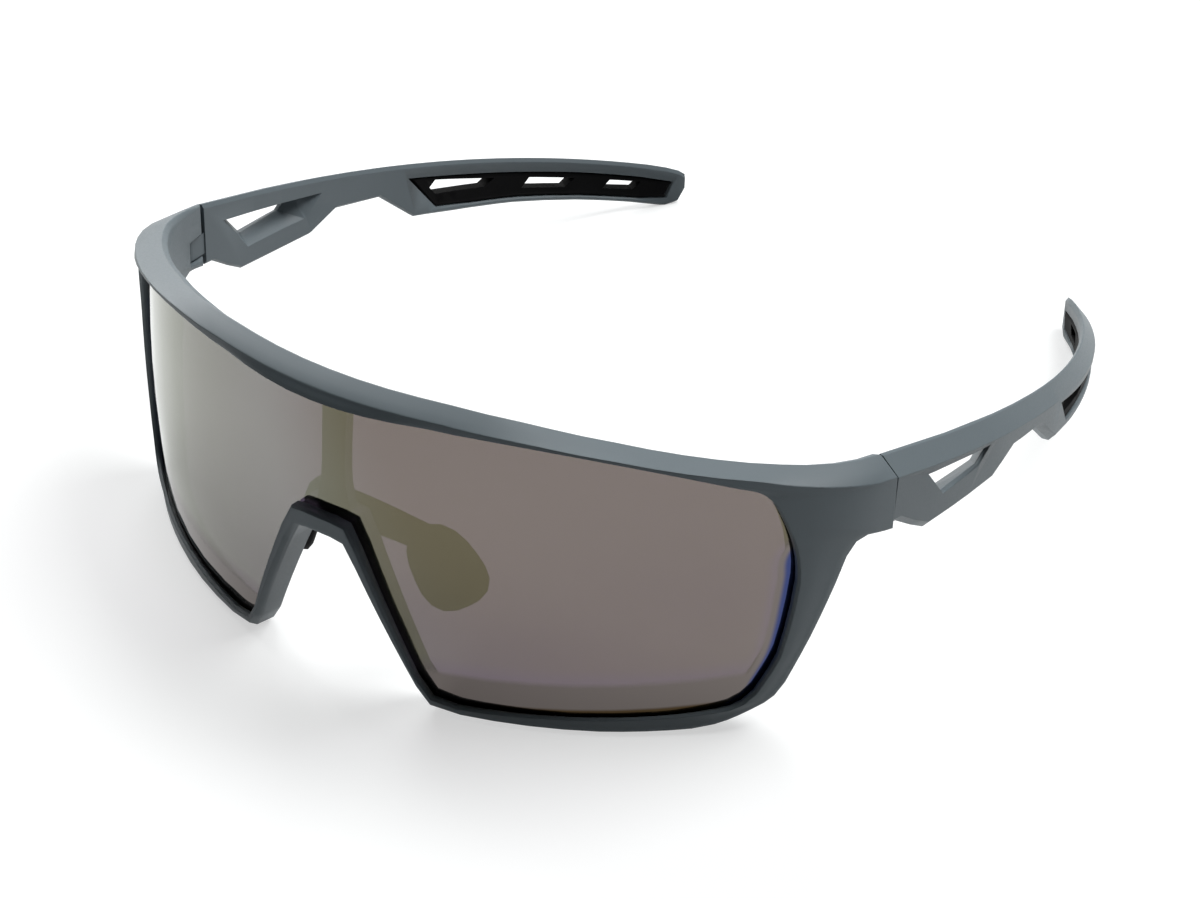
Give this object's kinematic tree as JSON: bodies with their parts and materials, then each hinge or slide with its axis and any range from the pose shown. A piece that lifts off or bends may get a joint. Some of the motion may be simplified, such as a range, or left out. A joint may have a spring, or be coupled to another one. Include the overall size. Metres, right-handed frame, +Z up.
{
  "type": "wraparound sunglasses",
  "caption": "Wraparound sports sunglasses with a full-rim shield lens, folding temples that carry rubber grips, and a rubber nose piece on a bendable wire.",
  "frame": {"origin": "on the floor, in the middle of the bounding box's bottom face, with the glasses standing on the lower rim and on the two temple tips", "axes": "+Z up, -Y the way the wearer looks, +X towards the side of the wearer's left ear; right and left in node names are as seen from in front"},
  "size_m": [0.1424, 0.1666, 0.054],
  "materials": {
    "frame_nylon": "matte, slightly metallic grey",
    "lens": "mirrored, grey brown",
    "nose_rubber": "matte black",
    "grip_rubber": "matte black",
    "wire_metal": "drawn wire",
    "screw_steel": "plain",
    "insert_brass": "plain"
  },
  "bodies": {
    "front": {"front_frame": "frame_nylon", "shield_lens": "lens", "nose_piece": "nose_rubber", "nose_wire": "wire_metal", "hinge_screw_right": "screw_steel", "hinge_screw_left": "screw_steel", "hinge_insert_right": "insert_brass", "hinge_insert_left": "insert_brass"},
    "right_temple": {"temple_right": "frame_nylon", "temple_grip_right": "grip_rubber"},
    "left_temple": {"temple_left": "frame_nylon", "temple_grip_left": "grip_rubber"}
  },
  "joints": [
    {"name": "temple_right_fold", "type": "hinge", "parent": "front", "child": "right_temple", "pos_m": [0.06699, -0.03653, 0.03985], "axis": [0, 0.0201, 0.9998], "range_deg": [0, 79]},
    {"name": "temple_left_fold", "type": "hinge", "parent": "front", "child": "left_temple", "pos_m": [-0.06699, -0.03653, 0.03985], "axis": [0, -0.0201, -0.9998], "range_deg": [0, 86]}
  ]
}
